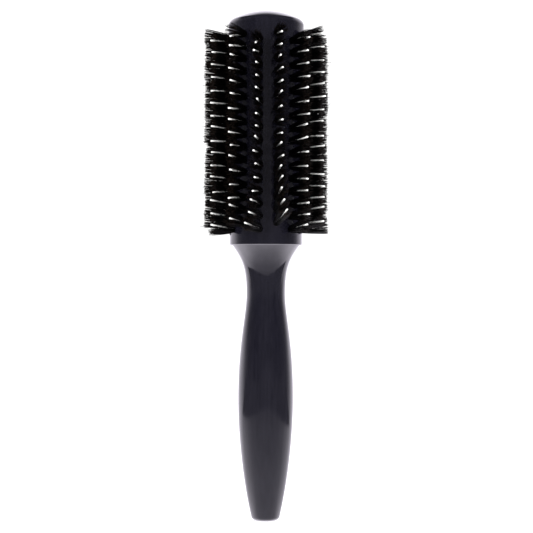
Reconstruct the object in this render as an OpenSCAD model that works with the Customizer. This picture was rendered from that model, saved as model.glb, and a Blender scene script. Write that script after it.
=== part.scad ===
// Round barrel brush: a turned handle, a drilled barrel on a dowel, and rows of
// bristle tufts with one nylon quill each, held down by wire anchors.
// The brush stands on its foot: origin at the foot's centre, +Z towards the crown.
// The front, -Y, is midway between two tuft rows. All sizes are in millimetres.

/* [Handle] */
// Length of the handle from its foot to the seam with the barrel
handle_length = 129; // [105:0.5:160]
// Diameter of the handle at its narrowest, the neck
neck_d = 18.3; // [14:0.1:22]
// Length of the flare from the neck up to the seam
flare_length = 22.4; // [20:0.1:30]
// Diameter of the handle at its widest, the belly of the grip
grip_d = 26.1; // [18:0.1:32]
// Height of the belly above the foot
grip_height = 56.9; // [45:0.1:69]
// Diameter of the foot just above its rounded edge
foot_d = 13.5; // [9:0.1:18]
// Radius of the foot's rounded edge
foot_round = 2.2; // [1:0.1:3.5]

/* [Barrel] */
// Length of the barrel from the seam to the top of its crown
barrel_length = 109.9; // [85:0.1:140]
// Diameter of the bare collar at the barrel's foot
collar_d = 34.2; // [28:0.1:45]
// Height of the bare collar
collar_height = 5.4; // [3:0.1:12]
// How far the collar stands out past the handle's mouth, all round
seam_step = 1.2; // [0.5:0.1:3]
// Growth in the barrel's diameter from its collar up to its shoulder
barrel_taper = 1.1; // [0:0.1:3]
// Radius of the crown's shallow dome
crown_radius = 33; // [25:0.5:60]
// Radius of the rounded shoulder between the barrel's side and its crown
shoulder_round = 3; // [1:0.1:5]
// Chamfer on the collar's lower edge
collar_chamfer = 0.4; // [0.2:0.1:1]

/* [Dowel] */
// Diameter of the dowel that joins the barrel to the handle
dowel_d = 10; // [7:0.1:12]
// Length of dowel inside the handle
dowel_in_handle = 18; // [10:0.5:20]
// Length of dowel inside the barrel
dowel_in_barrel = 30; // [15:0.5:50]
// Chamfer on the dowel's ends
dowel_chamfer = 1; // [0.3:0.1:2]
// Glue gap around the dowel
dowel_fit = 0.05; // [0.02:0.01:0.2]
// Gap between each end of the dowel and the floor of its bore
dowel_end_gap = 1; // [0.5:0.1:3]

/* [Tuft holes] */
// Number of tuft rows around the barrel
rows = 14; // [10:2:16]
// Spacing of the tufts along a row, which are as many as the barrel has room for
tuft_pitch = 5.8; // [4.8:0.1:7]
// Diameter of each tuft hole
hole_d = 3; // [2.2:0.1:3.6]
// Depth of each tuft hole
hole_depth = 7; // [5:0.1:9]
// Gap between the collar and the lowest holes
collar_gap = 0.4; // [0.2:0.1:3]
// Least height of bare barrel between the topmost hole and the shoulder
crown_gap = 3; // [1:0.1:10]

/* [Tufts] */
// How far the bristles reach out past the barrel at its widest
bristle_reach = 10.8; // [6:0.1:16]
// Gap between the tips of neighbouring tufts in a row
tuft_gap = 1.2; // [1:0.1:2]
// How far a tuft draws in, all round, where it leaves the mouth of its hole
tuft_waist = 0.3; // [0.1:0.1:0.4]
// Gap between a tuft's root and the wall of its hole
tuft_fit = 0.1; // [0.05:0.01:0.3]
// Upward lean of the lowest tuft right of the front parting, in degrees
lean_right = 26; // [0:1:28]
// Upward lean of the lowest tuft left of the front parting, in degrees
lean_left = 11; // [0:1:28]
// Number of tufts over which that lean fades out
lean_fade = 8; // [2:1:10]

/* [Quills] */
// How far the quills stand out past the bristles
quill_proud = 0.8; // [0.3:0.1:2]
// Diameter of a quill
quill_d = 0.8; // [0.5:0.05:1.2]
// Gap between a quill and the bristles around it
quill_fit = 0.05; // [0.02:0.01:0.15]
// Extra radius of a quill at its bend, where it leans
quill_bend = 0.05; // [0.02:0.01:0.1]

/* [Anchors] */
// Thickness of an anchor's flat wire
anchor_thickness = 0.4; // [0.3:0.05:0.8]
// Height of an anchor along its hole
anchor_height = 1; // [0.6:0.1:1.6]
// Thickness of the folded bristle under an anchor
anchor_lift = 0.4; // [0.2:0.1:1]
// Gap between an anchor's ends and the wall of its hole
anchor_fit = 0.05; // [0.02:0.01:0.1]

/* [Hidden] */
// Facets of the turned pieces, and of the small round ones
turned_fn = 96;
small_fn = 24;
// Steps along a curved stretch of an outline
curve_steps = 14;
// How far a cutting tool runs past the surface it cuts
overcut = 1;
// How far inside its root a leaning tuft's fan starts
fan_start = 0.5;

// Heights above the foot
seam_z = handle_length;
collar_z = seam_z + collar_height;
crown_z = seam_z + barrel_length;
neck_z = seam_z - flare_length;
first_tuft_z = collar_z + collar_gap + hole_d / 2;

// The shoulder's arc touches the barrel's side and, from inside, the crown's dome
top_r = (collar_d + barrel_taper) / 2;
dome_z = crown_z - crown_radius;
shoulder_r = top_r - shoulder_round;
shoulder_tilt = asin(shoulder_r / (crown_radius - shoulder_round));
shoulder_z = dome_z + (crown_radius - shoulder_round) * cos(shoulder_tilt);

// Tufts in each row: odd rows start half a pitch higher, and end below the crown's gap
tuft_room = shoulder_z - crown_gap - hole_d / 2 - first_tuft_z;
tufts = floor(tuft_room / tuft_pitch - 0.5) + 1;

// Radii of the circles through the bristle tips and the quill tips
bristle_r = top_r + bristle_reach;
quill_r = bristle_r + quill_proud;

// Sizes of a tuft's parts, and depths below the barrel's surface
quill_seat = hole_depth - anchor_lift - anchor_height;
anchor_length = hole_d - 2 * anchor_fit;
root_r = hole_d / 2 - tuft_fit;
tuft_mouth_r = root_r - tuft_waist;
tuft_tip_r = (tuft_pitch - tuft_gap) / 2;
quill_bore_r = quill_d / 2 + quill_fit;

// Slopes, and lengths of the handle's curve tangents as shares of each stretch
foot_slope = 0.24;
mouth_slope = 0.77;

lacquer = [0.14, 0.14, 0.16];
beech = [0.80, 0.66, 0.46];
bristle = [0.05, 0.045, 0.04];
nylon = [0.95, 0.95, 0.93];
steel = [0.70, 0.71, 0.73];

ROWS = [for (row = [1 : rows]) row];

function row_name(prefix, row) = str(prefix, row < 10 ? "0" : "", row);

// Radius of the barrel's side at a height: straight up the collar, then a slight taper
function barrel_r(z) =
    let (share = max(0, z - collar_z) / (shoulder_z - collar_z))
    collar_d / 2 + share * (top_r - collar_d / 2);

// Rows count to the right from the front parting; odd rows stand half a pitch higher
function row_angle(row) = -90 + (row - 0.5) * 360 / rows;
function tuft_z(row, tuft) =
    first_tuft_z + (tuft - 1 + (row % 2) / 2) * tuft_pitch;

// The two rows beside the front parting are swept up near the collar
function row_lean(row) = row == 1 ? lean_right : row == rows ? lean_left : 0;
function tuft_lean(row, tuft) = row_lean(row) * max(0, 1 - (tuft - 1) / lean_fade);

// Points of an arc about [x, z], from one angle to another
function arc(x, z, r, from, to) =
    [for (i = [0 : curve_steps]) let (a = from + (to - from) * i / curve_steps)
        [x + r * cos(a), z + r * sin(a)]];

// Points of a cubic curve from a to d that leaves towards b and arrives from c
function curve(a, b, c, d) =
    [for (i = [1 : curve_steps]) let (t = i / curve_steps, s = 1 - t)
        s * s * s * a + 3 * s * s * t * b + 3 * s * t * t * c + t * t * t * d];

// Half outline of the handle, from the foot's centre to the middle of its mouth
function handle_outline() =
    let (
        edge = atan(foot_slope),
        foot_x = foot_d / 2 - foot_round * cos(edge),
        foot = [foot_d / 2, foot_round * (1 - sin(edge))],
        grip = [grip_d / 2, grip_height],
        neck = [neck_d / 2, neck_z],
        mouth = [collar_d / 2 - seam_step, seam_z],
        grip_h = grip[1] - foot[1],
        waist_h = neck_z - grip_height
    )
    concat(
        [[0, 0]],
        arc(foot_x, foot_round, foot_round, -90, -edge),
        curve(foot, foot + 0.3 * grip_h * [foot_slope, 1], grip - [0, 0.3 * grip_h], grip),
        curve(grip, grip + [0, 0.55 * waist_h], neck - [0, 0.22 * waist_h], neck),
        curve(neck, neck + [0, 0.5 * flare_length],
            mouth - 0.3 * flare_length * [mouth_slope, 1], mouth),
        [[0, seam_z]]
    );

// Half outline of the barrel, from the seam's centre to the top of the crown
function barrel_outline() =
    let (foot_r = collar_d / 2)
    concat(
        [[0, seam_z], [foot_r - collar_chamfer, seam_z], [foot_r, seam_z + collar_chamfer],
            [foot_r, collar_z]],
        arc(shoulder_r, shoulder_z, shoulder_round, 0, 90 - shoulder_tilt),
        [for (i = [1 : curve_steps]) let (a = shoulder_tilt * (1 - i / curve_steps))
            [crown_radius * sin(a), dome_z + crown_radius * cos(a)]]
    );

// Places its children at the mouth of a tuft hole, with +Z out along the hole
module at_hole(row, tuft) {
    z = tuft_z(row, tuft);
    rotate([0, 0, row_angle(row)])
        translate([barrel_r(z), 0, z])
            rotate([0, 90, 0])
                children();
}

// The bore for the dowel, open at the seam; deep is how far it goes from there
module dowel_bore(deep) {
    translate([0, 0, -overcut])
        cylinder(d = dowel_d + 2 * dowel_fit, h = deep + dowel_end_gap + overcut, $fn = 48);
}

// Lacquered grip, turned in one piece and bored at the mouth for the dowel
module handle() {
    color(lacquer)
        difference() {
            rotate_extrude($fn = turned_fn)
                polygon(handle_outline());
            translate([0, 0, seam_z])
                mirror([0, 0, 1])
                    dowel_bore(dowel_in_handle);
        }
}

// Lacquered barrel with its collar and crown, bored for the dowel and the tufts
module barrel() {
    color(lacquer)
        difference() {
            rotate_extrude($fn = turned_fn)
                polygon(barrel_outline());
            translate([0, 0, seam_z])
                dowel_bore(dowel_in_barrel);
            for (row = ROWS, tuft = [1 : tufts])
                at_hole(row, tuft)
                    translate([0, 0, -hole_depth])
                        cylinder(d = hole_d, h = hole_depth + overcut, $fn = small_fn);
        }
}

// Hardwood dowel with chamfered ends, half in the handle and half in the barrel
module dowel() {
    r = dowel_d / 2;
    low = seam_z - dowel_in_handle;
    high = seam_z + dowel_in_barrel;
    color(beech)
        rotate_extrude($fn = 48)
            polygon([[0, low], [r - dowel_chamfer, low], [r, low + dowel_chamfer],
                [r, high - dowel_chamfer], [r - dowel_chamfer, high], [0, high]]);
}

// A wire anchor, flat across the floor of its hole and along the barrel
module anchor() {
    translate([0, 0, anchor_height / 2 - quill_seat - anchor_height])
        cube([anchor_length, anchor_thickness, anchor_height], center = true);
}

// A straight round pin of radius r from its seat to a rounded tip
module pin(r, low, high) {
    rotate_extrude($fn = small_fn)
        polygon(concat([[0, low], [r, low]],
            [for (a = [0 : 22.5 : 90]) [r * cos(a), high - r + r * sin(a)]]));
}

// A quill: straight out of its hole, or bent at the mouth where its tuft leans
module quill(row, tuft) {
    reach = quill_r - barrel_r(tuft_z(row, tuft));
    lean = tuft_lean(row, tuft);
    if (lean == 0)
        pin(quill_d / 2, -quill_seat, reach);
    else {
        translate([0, 0, -quill_seat])
            cylinder(d = quill_d, h = quill_seat, $fn = small_fn);
        sphere(r = quill_d / 2 + quill_bend, $fn = small_fn);
        rotate([0, -lean, 0])
            pin(quill_d / 2, 0, reach);
    }
}

// A leaning tuft with no hole for its quill: the root, and the fan that starts inside it
module leaning_tuft(lean, reach) {
    translate([0, 0, -hole_depth])
        cylinder(r = root_r, h = hole_depth, $fn = small_fn);
    rotate([0, -lean, 0])
        translate([0, 0, -fan_start])
            cylinder(r1 = tuft_mouth_r, r2 = tuft_tip_r, h = reach + fan_start, $fn = small_fn);
}

// The space that a bent quill and its fit take up inside a leaning tuft
module quill_space(lean, reach) {
    translate([0, 0, -quill_seat])
        cylinder(r = quill_bore_r, h = quill_seat, $fn = small_fn);
    sphere(r = quill_bore_r + quill_bend, $fn = small_fn);
    rotate([0, -lean, 0])
        cylinder(r = quill_bore_r, h = reach + overcut, $fn = small_fn);
}

// A bristle tuft: a root that fills its hole and folds under the anchor, and a fan
module tuft_body(row, tuft) {
    reach = bristle_r - barrel_r(tuft_z(row, tuft));
    lean = tuft_lean(row, tuft);
    difference() {
        if (lean == 0)
            rotate_extrude($fn = small_fn)
                polygon([[0, -hole_depth], [root_r, -hole_depth], [root_r, 0],
                    [tuft_mouth_r, 0], [tuft_tip_r, reach], [quill_bore_r, reach],
                    [quill_bore_r, -quill_seat], [0, -quill_seat]]);
        else
            difference() {
                leaning_tuft(lean, reach);
                quill_space(lean, reach);
            }
        anchor();
    }
}

// One row of bristle tufts, one of quills and one of anchors
module tuft_row(row) {
    color(bristle)
        for (tuft = [1 : tufts])
            at_hole(row, tuft) tuft_body(row, tuft);
}

module quill_row(row) {
    color(nylon)
        for (tuft = [1 : tufts])
            at_hole(row, tuft) quill(row, tuft);
}

module anchor_row(row) {
    color(steel)
        for (tuft = [1 : tufts])
            at_hole(row, tuft) anchor();
}

handle();
barrel();
dowel();
for (row = ROWS) {
    tuft_row(row);
    quill_row(row);
    anchor_row(row);
}
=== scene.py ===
"""A round barrel brush on a pale floor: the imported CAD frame, and the looks made around it.

Everything is in metres and in the frame's own axes: the brush stands on its foot at the origin,
+Z runs up to the crown, and the front, -Y, is midway between two tuft rows.
"""

import math
from typing import NamedTuple

import bpy
import numpy as np
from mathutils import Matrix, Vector


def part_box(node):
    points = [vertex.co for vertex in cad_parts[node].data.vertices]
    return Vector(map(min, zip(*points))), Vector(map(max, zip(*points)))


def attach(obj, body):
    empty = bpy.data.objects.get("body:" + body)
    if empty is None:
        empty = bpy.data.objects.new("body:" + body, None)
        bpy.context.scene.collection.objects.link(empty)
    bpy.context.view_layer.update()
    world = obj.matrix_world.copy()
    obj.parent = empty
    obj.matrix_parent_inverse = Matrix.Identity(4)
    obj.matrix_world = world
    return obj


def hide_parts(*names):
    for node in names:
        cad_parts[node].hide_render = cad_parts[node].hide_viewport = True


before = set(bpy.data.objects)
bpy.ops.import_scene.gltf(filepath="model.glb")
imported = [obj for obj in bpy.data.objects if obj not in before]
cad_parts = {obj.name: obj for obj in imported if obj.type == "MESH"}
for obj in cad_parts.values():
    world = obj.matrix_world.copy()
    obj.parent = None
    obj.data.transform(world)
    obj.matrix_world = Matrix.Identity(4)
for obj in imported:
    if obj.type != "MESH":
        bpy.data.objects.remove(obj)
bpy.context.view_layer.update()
MM = 0.001

# Seen from above, the rows run anticlockwise from the front. The first and the last stand
# beside the front parting, and the side rows point along +X and -X.
ROWS = sum(name.startswith("tuft_row_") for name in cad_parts)
RIGHT_ROW, LEFT_ROW = 1, ROWS
SIDE_ROWS = (4, 11)
TUFTS = 16

# Measures of the CAD's tufts, quills and anchors, in metres as everything here
ANCHOR_LENGTH = 2.9 * MM
ROOT_R = 1.4 * MM
QUILL_SEAT = 5.6 * MM
QUILL_R = 0.4 * MM
QUILL_PROUD = 0.8 * MM
QUILL_TIP_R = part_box("quill_row_04")[1].x
BRISTLE_TIP_R = QUILL_TIP_R - QUILL_PROUD

# Measures of the CAD's barrel
COLLAR_HEIGHT = 5.4 * MM
CROWN_HEIGHT = 6.82 * MM
COLLAR_R = 17.1 * MM
TOP_R = COLLAR_R + 0.55 * MM
SEAM_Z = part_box("barrel")[0].z
COLLAR_Z = SEAM_Z + COLLAR_HEIGHT
SHOULDER_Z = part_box("barrel")[1].z - CROWN_HEIGHT


# ---------------------------------------------------------------- how the tufts stand

class Stance(NamedTuple):
    """How a row's tufts stand, in degrees: leaning up and turned aside. What the lowest tuft
    adds to each fades out over a number of tufts, and so does the droop of the top quill."""

    lean: float = 2.0
    low_lean: float = 5.0
    low_lean_tufts: float = 2.0
    aside: float = 0.0
    low_aside: float = 0.0
    low_aside_tufts: float = 1.0
    top_droop: float = 2.0


STANCES = {
    RIGHT_ROW: Stance(lean=0.0, low_lean=26.0, low_lean_tufts=7.0, aside=-6.0, low_aside=11.0,
                      low_aside_tufts=2.0, top_droop=7.0),
    LEFT_ROW - 1: Stance(top_droop=15.0),
    LEFT_ROW: Stance(lean=0.0, low_lean=11.0, low_lean_tufts=3.0, aside=-2.0, low_aside=-18.0,
                     low_aside_tufts=4.5, top_droop=15.0),
}
TOP_DROOP_TUFTS = 2.5

# Chance in each tuft: the mean and the spread of its angles in degrees, and of its trim
TUFT_LEAN = (0.5, 1.6)
TUFT_ASIDE = (0.0, 1.6)
QUILL_LEAN = (0.5, 1.5)
QUILL_ASIDE = (0.0, 1.2)
TUFT_TRIM = (0.0, 0.22 * MM)
TUFT_SEED, STRAND_SEED, QUILL_SEED = 1000, 2000, 3000

# Where a tuft begins to part around its quill, as a share of its reach. The lowest tufts
# beside the parting begin sooner.
PARTING_START = 0.42
LOW_PARTING_SHIFT = 0.34
LOW_PARTING_TUFTS = 2.5
# Half the width of that gap, narrower in the rows that are seen side on
GAP = 0.6 * MM
SIDE_GAP = 0.26 * MM


def row_name(prefix, row):
    return f"{prefix}_row_{row:02d}"


def barrel_r(z):
    """Radius of the barrel's side at a height: straight up the collar, then a slight taper."""
    share = max(0.0, z - COLLAR_Z) / (SHOULDER_Z - COLLAR_Z)
    return COLLAR_R + share * (TOP_R - COLLAR_R)


def tuft_heights(row):
    """Heights of a row's tufts, from the anchors that hold them."""
    low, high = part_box(row_name("anchor", row))
    half = ANCHOR_LENGTH / 2
    return np.linspace(low.z + half, high.z - half, TUFTS)


def row_axes(row):
    """Directions out of the barrel, sideways and up, for one row."""
    angle = math.radians(-90 + (row - 0.5) * 360 / ROWS)
    out = np.array([math.cos(angle), math.sin(angle), 0.0])
    side = np.array([-math.sin(angle), math.cos(angle), 0.0])
    return out, side, np.array([0.0, 0.0, 1.0])


def fade(steps, reach):
    """1 at the first tuft, falling evenly to 0 over a number of tufts."""
    return max(0.0, 1 - steps / reach)


class Tuft:
    """One tuft: where it leaves the barrel, which way it points, and where its quill goes."""

    def __init__(self, row, index, z, rng):
        out, side, up = row_axes(row)
        stance = STANCES.get(row, Stance())
        sweep = stance.lean + stance.low_lean * fade(index, stance.low_lean_tufts)
        away = stance.aside + stance.low_aside * fade(index, stance.low_aside_tufts)
        droop = stance.top_droop * fade(TUFTS - 1 - index, TOP_DROOP_TUFTS)
        lean = math.radians(sweep + rng.normal(*TUFT_LEAN))
        turn = math.radians(away + rng.normal(*TUFT_ASIDE))
        quill_up = math.radians(rng.normal(*QUILL_LEAN) - droop)
        quill_side = math.radians(rng.normal(*QUILL_ASIDE))
        self.root = out * barrel_r(z) + up * z
        self.out = out
        self.axis = (math.cos(lean) * math.cos(turn) * out + math.cos(lean) * math.sin(turn) * side
                     + math.sin(lean) * up)
        self.side = np.cross(up, self.axis)
        self.side /= np.linalg.norm(self.side)
        self.up = np.cross(self.axis, self.side)
        self.reach = (BRISTLE_TIP_R - barrel_r(z)) / (math.cos(lean) * math.cos(turn))
        self.quill_tip = self.reach * np.array([math.tan(quill_side), math.tan(quill_up)])
        self.trim = rng.normal(*TUFT_TRIM)
        self.parting = PARTING_START
        if row in (RIGHT_ROW, LEFT_ROW):
            self.parting -= LOW_PARTING_SHIFT * fade(index, LOW_PARTING_TUFTS)
        self.gap = SIDE_GAP if row in SIDE_ROWS else GAP


def row_tufts(row):
    rng = np.random.default_rng(TUFT_SEED + row)
    return [Tuft(row, index, z, rng) for index, z in enumerate(tuft_heights(row))]


# ---------------------------------------------------------------- meshes

def mesh_piece(name, vertices, faces, material):
    """A smooth mesh that rides on the brush's one body."""
    mesh = bpy.data.meshes.new(name)
    mesh.from_pydata(vertices, [], faces)
    mesh.polygons.foreach_set("use_smooth", [True] * len(mesh.polygons))
    mesh.materials.append(material)
    mesh.update()
    piece = bpy.data.objects.new(name, mesh)
    bpy.context.scene.collection.objects.link(piece)
    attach(piece, "root")
    return piece


def tubes(paths, radii, sides):
    """Vertices and faces of closed tubes. paths is tubes x rings x 3, radii is tubes x rings."""
    ahead = np.gradient(paths, axis=1)
    ahead /= np.linalg.norm(ahead, axis=2, keepdims=True)
    level = np.cross(ahead, np.array([0.0, 0.0, 1.0]))
    level /= np.linalg.norm(level, axis=2, keepdims=True)
    above = np.cross(level, ahead)
    turn = 2 * math.pi * np.arange(sides) / sides
    ring = (level[:, :, None, :] * np.cos(turn)[None, None, :, None]
            + above[:, :, None, :] * np.sin(turn)[None, None, :, None])
    vertices = paths[:, :, None, :] + ring * radii[:, :, None, None]
    count, rings = radii.shape
    start = np.arange(count)[:, None, None] * rings * sides
    low = start + np.arange(rings - 1)[None, :, None] * sides
    i = np.arange(sides)[None, None, :]
    j = (i + 1) % sides
    walls = np.stack([low + j, low + i, low + sides + i, low + sides + j], axis=-1)
    first = start[:, 0, :] + np.arange(sides)[None, :]
    last = first[:, ::-1] + (rings - 1) * sides
    return (vertices.reshape(-1, 3).tolist(),
            walls.reshape(-1, 4).tolist() + first.tolist() + last.tolist())


# ---------------------------------------------------------------- bristles and quills

STRANDS = 140
STRAND_RINGS = 8
STRAND_SIDES = 3
STRAND_R = (0.10 * MM, 0.145 * MM)
ROOT_DEPTH = 0.8 * MM      # how far into the hole the bristles start
ROOT_MARGIN = 0.15 * MM    # how far inside the root's rim they start
RIM_CROWDING = 0.42        # a power below 0.5 gathers them towards the rim of the fan
TIP_SPREAD = np.array([3.1, 3.5]) * MM
TIP_JITTER = 0.22 * MM
CURL = 0.22 * MM
CURL_EASING = 0.4          # how far the curl slackens towards the tip
CUT = (-1.1 * MM, 0.2 * MM, 0.7 * MM)    # least, likeliest and most past the circle
STRAY_SHARE = 0.02
STRAY_EXTRA = (0.4 * MM, 1.8 * MM)
STRAY_CURL = 3.0
FAN_POWER = 0.75
PARTING_LENGTH = 0.16      # share of the reach over which the gap opens
TIP_THINNING = 0.5
THINNING_POWER = 2.5

QUILL_RINGS = 7
QUILL_SIDES = 12
QUILL_BEND_SEAT = 0.55     # share of the seat's depth at which a second ring stands
QUILL_BOW = 0.22 * MM
QUILL_LENGTH_SPREAD = 0.2 * MM
QUILL_CAP = 0.55 * QUILL_R
CAP_ANGLES = (30, 55, 75, 88)


def strands(tuft, rng):
    """Paths and radii of a tuft's bristles: gathered in the hole, fanned out at the tips,
    parted above and below the quill, and trimmed to the circle through the tips."""
    spot = rng.uniform(0, 1, STRANDS) ** RIM_CROWDING
    turn = rng.uniform(0, 2 * math.pi, STRANDS)
    disc = np.stack([spot * np.cos(turn), spot * np.sin(turn)], axis=1)
    start = disc * (ROOT_R - ROOT_MARGIN)
    tip = disc * TIP_SPREAD + rng.normal(0, TIP_JITTER, (STRANDS, 2))
    cut = tuft.trim + rng.triangular(*CUT, STRANDS)
    stray = rng.uniform(0, 1, STRANDS) < STRAY_SHARE
    cut[stray] += rng.uniform(*STRAY_EXTRA, stray.sum())
    curl = rng.normal(0, CURL, (STRANDS, 2)) * np.where(stray, STRAY_CURL, 1.0)[:, None]
    t = np.linspace(0, 1, STRAND_RINGS)
    fan = t ** FAN_POWER
    bend = t * t * (1 - CURL_EASING * t)
    along = -ROOT_DEPTH + (tuft.reach + cut + ROOT_DEPTH)[:, None] * t
    across = (start[:, None, :] + (tip - start)[:, None, :] * fan[None, :, None]
              + curl[:, None, :] * bend[None, :, None])
    past = across[:, :, 1] - t * tuft.quill_tip[1]
    gap = tuft.gap * np.clip((t - tuft.parting) / PARTING_LENGTH, 0, 1)
    parted = np.where(past < 0, -1, 1) * np.maximum(np.abs(past), gap)
    across[:, :, 1] = parted + t * tuft.quill_tip[1]
    paths = (tuft.root + along[:, :, None] * tuft.axis + across[:, :, :1] * tuft.side
             + across[:, :, 1:] * tuft.up)
    thick = rng.uniform(*STRAND_R, STRANDS)
    return paths, thick[:, None] * (1 - TIP_THINNING * t ** THINNING_POWER)[None, :]


def bristle_row(row, tufts, material):
    rng = np.random.default_rng(STRAND_SEED + row)
    made = [strands(tuft, rng) for tuft in tufts]
    vertices, faces = tubes(np.concatenate([paths for paths, _ in made]),
                            np.concatenate([radii for _, radii in made]), STRAND_SIDES)
    piece = mesh_piece(row_name("bristles", row), vertices, faces, material)
    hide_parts(row_name("tuft", row))


def quill_path(tuft, rng):
    """Centre line and radii of a quill: up its hole, out along its tuft with a slight bow, and
    closed with a low round cap."""
    depths = np.array([QUILL_SEAT, QUILL_BEND_SEAT * QUILL_SEAT])
    seat = tuft.root - tuft.out * depths[:, None]
    t = np.linspace(0, 1, QUILL_RINGS)[:, None]
    bow = rng.normal(0, QUILL_BOW, 2)
    length = tuft.reach + QUILL_PROUD + rng.normal(0, QUILL_LENGTH_SPREAD)
    offset = t * tuft.quill_tip + t * t * bow
    stem = (tuft.root + t * (length - QUILL_R) * tuft.axis + offset[:, :1] * tuft.side
            + offset[:, 1:] * tuft.up)
    ahead = stem[-1] - stem[-2]
    ahead /= np.linalg.norm(ahead)
    turns = np.radians(CAP_ANGLES)
    cap = stem[-1] + QUILL_CAP * np.sin(turns)[:, None] * ahead
    radii = np.concatenate([np.full(len(seat) + len(stem), QUILL_R), QUILL_R * np.cos(turns)])
    return np.concatenate([seat, stem, cap]), radii


def quill_row(row, tufts, material):
    rng = np.random.default_rng(QUILL_SEED + row)
    made = [quill_path(tuft, rng) for tuft in tufts]
    vertices, faces = tubes(np.stack([path for path, _ in made]),
                            np.stack([radii for _, radii in made]), QUILL_SIDES)
    piece = mesh_piece(row_name("quills", row), vertices, faces, material)
    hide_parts(row_name("quill", row))


# ---------------------------------------------------------------- handle

# The CAD handle's outline, in mm: the radii and heights of its foot, grip, neck and mouth, how
# steeply it leaves the foot and meets the mouth, and how far each curve pulls along its ends
FOOT_R, FOOT_ROUND, FOOT_SLOPE = 6.75, 2.2, 0.24
GRIP_R, GRIP_Z = 13.05, 56.9
NECK_R, FLARE_LENGTH = 9.15, 22.4
MOUTH_R, MOUTH_SLOPE = 15.9, 0.77
BORE_R, BORE_DEPTH = 5.05, 19
BELLY_PULL = 0.3
GRIP_PULL, NECK_PULL = 0.55, 0.22
FLARE_PULL, MOUTH_PULL = 11.2, 6.72
CURVE_STEPS = 49
ROUND_STEPS = 13
HANDLE_SIDES = 144
SHARP_EDGE = math.radians(30)


def curve(a, b, c, d):
    """Points of a cubic curve from a to d that leaves towards b and arrives from c."""
    t = np.linspace(0, 1, CURVE_STEPS)[1:, None]
    s = 1 - t
    return s ** 3 * a + 3 * s * s * t * b + 3 * s * t * t * c + t ** 3 * d


def handle_outline():
    """Radius and height up the handle in mm, with its bore, along the CAD's own curves."""
    up = np.array([0.0, 1.0])
    outwards = np.array([FOOT_SLOPE, 1.0])
    inwards = np.array([MOUTH_SLOPE, 1.0])
    edge = math.atan(FOOT_SLOPE)
    seam = SEAM_Z / MM
    foot = np.array([FOOT_R, FOOT_ROUND * (1 - math.sin(edge))])
    grip = np.array([GRIP_R, GRIP_Z])
    neck = np.array([NECK_R, seam - FLARE_LENGTH])
    mouth = np.array([MOUTH_R, seam])
    rise, waist = grip[1] - foot[1], neck[1] - grip[1]
    turn = np.linspace(-math.pi / 2, -edge, ROUND_STEPS)
    rounding = np.stack([foot[0] + FOOT_ROUND * (np.cos(turn) - math.cos(edge)),
                         FOOT_ROUND * (1 + np.sin(turn))], axis=1)
    return np.concatenate([
        rounding,
        curve(foot, foot + BELLY_PULL * rise * outwards, grip - BELLY_PULL * rise * up, grip),
        curve(grip, grip + GRIP_PULL * waist * up, neck - NECK_PULL * waist * up, neck),
        curve(neck, neck + FLARE_PULL * up, mouth - MOUTH_PULL * inwards, mouth),
        [[BORE_R, seam], [BORE_R, seam - BORE_DEPTH]],
    ])


def turned_handle(material):
    """The handle turned finely, so that the lacquer mirrors the studio without steps."""
    sides = HANDLE_SIDES
    outline = handle_outline() * MM
    turn = 2 * math.pi * np.arange(sides) / sides
    vertices = np.stack([outline[:, :1] * np.cos(turn), outline[:, :1] * np.sin(turn),
                         np.repeat(outline[:, 1:], sides, axis=1)], axis=-1)
    low = np.arange(len(outline) - 1)[:, None] * sides
    i = np.arange(sides)[None, :]
    j = (i + 1) % sides
    walls = np.stack([low + i, low + j, low + sides + j, low + sides + i], axis=-1)
    faces = walls.reshape(-1, 4).tolist()
    faces.append(list(range(sides))[::-1])
    faces.append([(len(outline) - 1) * sides + k for k in range(sides)])
    piece = mesh_piece("turned_handle", vertices.reshape(-1, 3).tolist(), faces, material)
    piece.data.set_sharp_from_angle(angle=SHARP_EDGE)
    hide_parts("handle")


# ---------------------------------------------------------------- materials

BROWN_LENGTH = 3 * MM


def node_material(name):
    """A material with its tree and its shader, ready for nodes."""
    material = bpy.data.materials.new(name)
    material.use_nodes = True
    tree = material.node_tree
    return material, tree, tree.nodes["Principled BSDF"]


def add(tree, kind, **values):
    """A node of a kind, with its inputs and properties set by name."""
    node = tree.nodes.new(kind)
    for key, value in values.items():
        if key in node.inputs:
            node.inputs[key].default_value = value
        else:
            setattr(node, key, value)
    return node


def object_coordinates(tree, stretch=(1, 1, 1)):
    """The place on the brush in metres; a small stretch along an axis draws a pattern out."""
    coordinates = add(tree, "ShaderNodeTexCoord")
    mapping = add(tree, "ShaderNodeMapping")
    mapping.inputs["Scale"].default_value = stretch
    tree.links.new(coordinates.outputs["Object"], mapping.inputs["Vector"])
    return mapping.outputs["Vector"]


def noise(tree, vector, scale, detail=3.0, roughness=0.5):
    texture = add(tree, "ShaderNodeTexNoise", Scale=scale, Detail=detail, Roughness=roughness)
    tree.links.new(vector, texture.inputs["Vector"])
    return texture.outputs["Fac"]


def ramp(tree, factor, stops):
    """A colour ramp: stops are (position, colour)."""
    node = add(tree, "ShaderNodeValToRGB")
    elements = node.color_ramp.elements
    while len(elements) < len(stops):
        elements.new(1.0)
    for element, (position, colour) in zip(elements, stops):
        element.position = position
        element.color = (*colour, 1)
    tree.links.new(factor, node.inputs["Fac"])
    return node.outputs["Color"]


def spread(tree, factor, low, high, start=0.0, end=1.0):
    """A number that runs from low to high as the factor goes from start to end."""
    node = add(tree, "ShaderNodeMapRange")
    node.inputs["From Min"].default_value = start
    node.inputs["From Max"].default_value = end
    node.inputs["To Min"].default_value = low
    node.inputs["To Max"].default_value = high
    tree.links.new(factor, node.inputs["Value"])
    return node.outputs["Result"]


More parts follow.
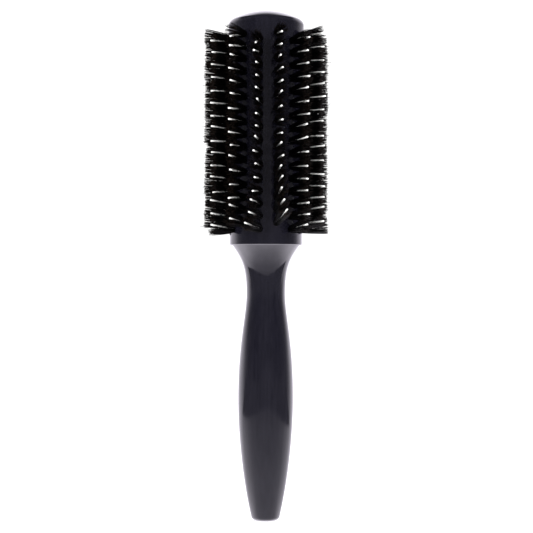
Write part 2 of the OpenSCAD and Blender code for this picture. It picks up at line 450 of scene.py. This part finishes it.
def bump(tree, height, distance):
    node = add(tree, "ShaderNodeBump", Strength=1.0, Distance=distance)
    tree.links.new(height, node.inputs["Height"])
    return node.outputs["Normal"]


def lacquer_material():
    """Black gloss lacquer on turned wood: a faint ripple, and patches dulled by handling."""
    material, tree, shader = node_material("black_lacquer")
    everywhere = object_coordinates(tree)
    grain = object_coordinates(tree, (1, 1, 0.06))
    colour = ramp(tree, noise(tree, grain, 900, 4),
                  [(0.3, (0.0038, 0.0036, 0.0068)), (0.7, (0.0070, 0.0066, 0.0108))])
    tree.links.new(colour, shader.inputs["Base Color"])
    wear = spread(tree, noise(tree, everywhere, 90, 4, 0.6), 0.07, 0.13)
    tree.links.new(wear, shader.inputs["Roughness"])
    ripple = bump(tree, noise(tree, everywhere, 260, 2), 0.01 * MM)
    tree.links.new(ripple, shader.inputs["Normal"])
    shader.inputs["IOR"].default_value = 1.5
    return material


def bristle_material():
    """Natural black bristle, with a little brown towards the tips."""
    material, tree, shader = node_material("boar_bristle")
    flat = object_coordinates(tree, (1, 1, 0))
    distance = add(tree, "ShaderNodeVectorMath", operation="LENGTH")
    tree.links.new(flat, distance.inputs[0])
    tips = spread(tree, distance.outputs["Value"], 0.0, 0.35,
                  BRISTLE_TIP_R - BROWN_LENGTH, BRISTLE_TIP_R)
    pattern = noise(tree, object_coordinates(tree), 1300, 3)
    both = add(tree, "ShaderNodeMath", operation="ADD")
    tree.links.new(tips, both.inputs[0])
    tree.links.new(pattern, both.inputs[1])
    colour = ramp(tree, both.outputs[0],
                  [(0.45, (0.0006, 0.0006, 0.0006)), (0.75, (0.0014, 0.0011, 0.0009)),
                   (0.98, (0.014, 0.008, 0.005))])
    tree.links.new(colour, shader.inputs["Base Color"])
    tree.links.new(spread(tree, pattern, 0.45, 0.65), shader.inputs["Roughness"])
    shader.inputs["Specular IOR Level"].default_value = 0.12
    return material


def nylon_material():
    """Satin white nylon."""
    material, tree, shader = node_material("white_nylon")
    everywhere = object_coordinates(tree)
    colour = ramp(tree, noise(tree, everywhere, 700, 2),
                  [(0.3, (0.84, 0.83, 0.81)), (0.7, (0.93, 0.93, 0.92))])
    tree.links.new(colour, shader.inputs["Base Color"])
    tree.links.new(spread(tree, noise(tree, everywhere, 1500, 2), 0.3, 0.45),
                   shader.inputs["Roughness"])
    tree.links.new(bump(tree, noise(tree, everywhere, 2600, 2), 0.01 * MM),
                   shader.inputs["Normal"])
    return material


def beech_material():
    """Bare turned beech, with its grain along the dowel."""
    material, tree, shader = node_material("bare_beech")
    pattern = noise(tree, object_coordinates(tree, (1, 1, 0.05)), 700, 6, 0.6)
    colour = ramp(tree, pattern, [(0.3, (0.42, 0.27, 0.14)), (0.7, (0.66, 0.48, 0.29))])
    tree.links.new(colour, shader.inputs["Base Color"])
    tree.links.new(spread(tree, pattern, 0.55, 0.75), shader.inputs["Roughness"])
    tree.links.new(bump(tree, pattern, 0.05 * MM), shader.inputs["Normal"])
    return material


def wire_material():
    """Bright drawn wire, with fine lines along it."""
    material, tree, shader = node_material("anchor_wire")
    pattern = noise(tree, object_coordinates(tree, (1, 1, 0.04)), 6000, 3)
    colour = ramp(tree, pattern, [(0.3, (0.45, 0.45, 0.46)), (0.7, (0.68, 0.68, 0.70))])
    tree.links.new(colour, shader.inputs["Base Color"])
    tree.links.new(spread(tree, pattern, 0.22, 0.4), shader.inputs["Roughness"])
    shader.inputs["Metallic"].default_value = 1.0
    return material


def floor_material():
    """A pale matt floor that glows a little, so that it stays as light as the background."""
    material, tree, shader = node_material("pale_floor")
    colour = ramp(tree, noise(tree, object_coordinates(tree), 4, 2),
                  [(0.3, (0.92, 0.92, 0.92)), (0.7, (0.94, 0.94, 0.94))])
    tree.links.new(colour, shader.inputs["Base Color"])
    shader.inputs["Roughness"].default_value = 0.9
    shader.inputs["Specular IOR Level"].default_value = 0.0
    shader.inputs["Emission Color"].default_value = (1, 1, 1, 1)
    shader.inputs["Emission Strength"].default_value = 0.45
    return material


# ---------------------------------------------------------------- studio

# The brush in the photograph is turned a little about its axis. Here the camera turns round
# the brush instead, and the room turns with it.
VIEW_TURN = math.radians(3.5)
ROOM_TURN = math.radians(5)
MIRROR_TINT = (1.0, 0.955, 1.06)    # a faint violet cast in what the lacquer mirrors
PLAIN_LIGHT = (1.12, 1.12, 1.12, 1)

# The sensor's width is in mm. The view's width is that at the brush, in metres.
SENSOR_WIDTH = 36.0
CAMERA_DISTANCE = 0.70
CAMERA_ASIDE = 0.3 * MM
CAMERA_Z = 119.05 * MM
CAMERA_ROLL = -math.radians(0.1)
VIEW_WIDTH = 0.2505

LAMP_SIZE = 0.7
LAMP_POWER = 14
LAMP_OFFSET = 0.9

# The bright table that the lacquer mirrors, in metres: from its back right corner round the
# front to its back left corner. Past its edges the room is dim.
TABLE_EDGE = [(0.25, 0.15), (0.27, -0.05), (0.25, -0.23), (0.08, -0.43), (-0.14, -0.35),
              (-0.26, -0.21), (-0.33, 0.02), (-0.36, 0.15)]
ROOM_REACH = 4.0
ROOM_LEVEL = 0.24
FLOOR_REACH = 12.0


def level_ramp(tree, value, stops):
    """A number set by a direction component from -1 to 1: stops are (component, level)."""
    top = max(level for _, level in stops)
    share = spread(tree, value, 0.0, 1.0, -1.0, 1.0)
    colour = ramp(tree, share,
                  [((component + 1) / 2, (level / top,) * 3) for component, level in stops])
    scale = add(tree, "ShaderNodeMath", operation="MULTIPLY")
    scale.inputs[1].default_value = top
    tree.links.new(colour, scale.inputs[0])
    return scale.outputs[0]


def combine(tree, operation, *values):
    """The result of a maths operation on numbers from other nodes."""
    node = add(tree, "ShaderNodeMath", operation=operation)
    for socket, value in zip(node.inputs, values):
        tree.links.new(value, socket)
    return node.outputs[0]


def studio_world():
    """Even white light, and for what the lacquer mirrors a studio: bright sweeps behind and
    beside the brush, dim room in front, a bright table below, darkness overhead."""
    world = bpy.data.worlds.new("studio")
    bpy.context.scene.world = world
    world.use_nodes = True
    tree = world.node_tree
    tree.nodes.clear()
    direction = add(tree, "ShaderNodeTexCoord").outputs["Generated"]
    parts = add(tree, "ShaderNodeSeparateXYZ")
    tree.links.new(direction, parts.inputs[0])
    back = add(tree, "ShaderNodeVectorMath", operation="DOT_PRODUCT")
    skew = ROOM_TURN - VIEW_TURN
    back.inputs[1].default_value = (-math.sin(skew), math.cos(skew), 0)
    tree.links.new(direction, back.inputs[0])
    around = level_ramp(tree, back.outputs["Value"], [
        (-1.0, 0.26), (-0.92, 0.26), (-0.80, 0.17), (-0.55, 0.16), (-0.30, 0.22), (-0.05, 0.29),
        (0.12, 0.42), (0.25, 0.68), (0.42, 1.45), (0.55, 1.95), (1.0, 2.2)])
    over_front = level_ramp(tree, parts.outputs["Z"], [
        (-1.0, 1.0), (0.0, 0.9), (0.10, 0.6), (0.30, 0.6), (0.85, 0.8), (0.97, 0.2),
        (1.0, 0.15)])
    over_back = level_ramp(tree, parts.outputs["Z"], [
        (-1.0, 1.0), (0.03, 1.0), (0.15, 0.5), (0.25, 0.75), (0.40, 0.95), (0.60, 0.9),
        (0.72, 0.05), (1.0, 0.05)])
    below = level_ramp(tree, parts.outputs["Z"], [
        (-1.0, 2.3), (-0.95, 2.0), (-0.93, 1.7), (-0.85, 1.5), (-0.69, 1.35), (-0.50, 0.97),
        (-0.42, 0.95), (-0.30, 0.70), (-0.22, 0.60), (-0.14, 0.46), (-0.05, 0.2), (0.0, 0.0)])
    aside = level_ramp(tree, back.outputs["Value"], [
        (-1.0, 0.97), (-0.7, 1.1), (-0.3, 1.45), (0.0, 2.2), (0.3, 2.8), (1.0, 3.0)])
    behind = spread(tree, back.outputs["Value"], 0.0, 1.0, -0.05, 0.15)
    over = add(tree, "ShaderNodeMix", data_type="FLOAT")
    tree.links.new(behind, over.inputs["Factor"])
    tree.links.new(over_front, over.inputs["A"])
    tree.links.new(over_back, over.inputs["B"])
    mirrored = combine(tree, "MAXIMUM", combine(tree, "MULTIPLY", around,
                                                over.outputs["Result"]),
                       combine(tree, "MULTIPLY", below, aside))
    tinted = add(tree, "ShaderNodeVectorMath", operation="SCALE")
    tinted.inputs[0].default_value = MIRROR_TINT
    tree.links.new(mirrored, tinted.inputs["Scale"])
    path = add(tree, "ShaderNodeLightPath")
    seen = add(tree, "ShaderNodeMix", data_type="RGBA")
    tree.links.new(path.outputs["Is Glossy Ray"], seen.inputs["Factor"])
    seen.inputs["A"].default_value = PLAIN_LIGHT
    tree.links.new(tinted.outputs["Vector"], seen.inputs["B"])
    background = add(tree, "ShaderNodeBackground")
    tree.links.new(seen.outputs["Result"], background.inputs["Color"])
    output = add(tree, "ShaderNodeOutputWorld")
    tree.links.new(background.outputs["Background"], output.inputs["Surface"])


def stage_mesh(name, points, material):
    """A flat sheet at the foot's level, through its corner points."""
    mesh = bpy.data.meshes.new(name)
    mesh.from_pydata([(x, y, 0) for x, y in points], [], [tuple(range(len(points)))])
    mesh.materials.append(material)
    sheet = bpy.data.objects.new(name, mesh)
    bpy.context.scene.collection.objects.link(sheet)
    return sheet


def dim_room():
    """The dim room past the edges of the bright table, which only the lacquer sees."""
    material = bpy.data.materials.new("dim_room")
    material.use_nodes = True
    tree = material.node_tree
    tree.nodes.clear()
    colour = [ROOM_LEVEL * share for share in MIRROR_TINT]
    glow = add(tree, "ShaderNodeEmission", Color=(*colour, 1))
    output = add(tree, "ShaderNodeOutputMaterial")
    tree.links.new(glow.outputs["Emission"], output.inputs["Surface"])
    far, back = ROOM_REACH, TABLE_EDGE[0][1]
    corners = [(-far, back), (-far, -far), (far, -far), (far, back)]
    room = stage_mesh("dim_room", corners + TABLE_EDGE, material)
    room.rotation_euler.z = -VIEW_TURN
    room.visible_camera = False
    room.visible_diffuse = False
    room.visible_shadow = False
    room.visible_transmission = False


def pale_floor():
    """The floor that the camera sees and the lacquer doesn't."""
    far = FLOOR_REACH
    floor = stage_mesh("floor", [(-far, -far), (far, -far), (far, far), (-far, far)],
                       floor_material())
    floor.visible_glossy = False


def softbox(name, across):
    """A large soft lamp in front, aimed at the bristles and kept out of the reflections."""
    data = bpy.data.lights.new(name, "AREA")
    data.shape = "DISK"
    data.size = LAMP_SIZE
    data.energy = LAMP_POWER
    lamp = bpy.data.objects.new(name, data)
    lamp.location = (across, -LAMP_OFFSET, LAMP_OFFSET)
    aim = Vector((0, 0, (SEAM_Z + SHOULDER_Z) / 2)) - lamp.location
    lamp.rotation_euler = aim.to_track_quat("-Z", "Y").to_euler()
    lamp.visible_glossy = False
    bpy.context.scene.collection.objects.link(lamp)


def camera():
    """Level with the middle of the brush, and in front of it but for the view's turn."""
    data = bpy.data.cameras.new("camera")
    data.sensor_width = SENSOR_WIDTH
    data.lens = SENSOR_WIDTH * CAMERA_DISTANCE / VIEW_WIDTH
    view = bpy.data.objects.new("camera", data)
    view.location = (CAMERA_ASIDE - CAMERA_DISTANCE * math.sin(VIEW_TURN),
                     -CAMERA_DISTANCE * math.cos(VIEW_TURN), CAMERA_Z)
    view.rotation_euler = (math.pi / 2, CAMERA_ROLL, -VIEW_TURN)
    bpy.context.scene.collection.objects.link(view)
    bpy.context.scene.camera = view


# ---------------------------------------------------------------- the brush

def give(node, material):
    """Puts a material on a CAD node that is shown as it is."""
    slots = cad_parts[node].data.materials
    slots.clear()
    slots.append(material)


def brush():
    """Every material, and every piece that is made or dressed here."""
    lacquer, bristle, nylon, wire = (
        lacquer_material(), bristle_material(), nylon_material(), wire_material())
    turned_handle(lacquer)
    give("barrel", lacquer)
    give("dowel", beech_material())
    for row in range(1, ROWS + 1):
        tufts = row_tufts(row)
        give(row_name("anchor", row), wire)
        bristle_row(row, tufts, bristle)
        quill_row(row, tufts, nylon)


camera()
studio_world()
pale_floor()
dim_room()
softbox("lamp_left", -LAMP_OFFSET)
softbox("lamp_right", LAMP_OFFSET)
brush()
bpy.context.scene.view_settings.view_transform = "Standard"
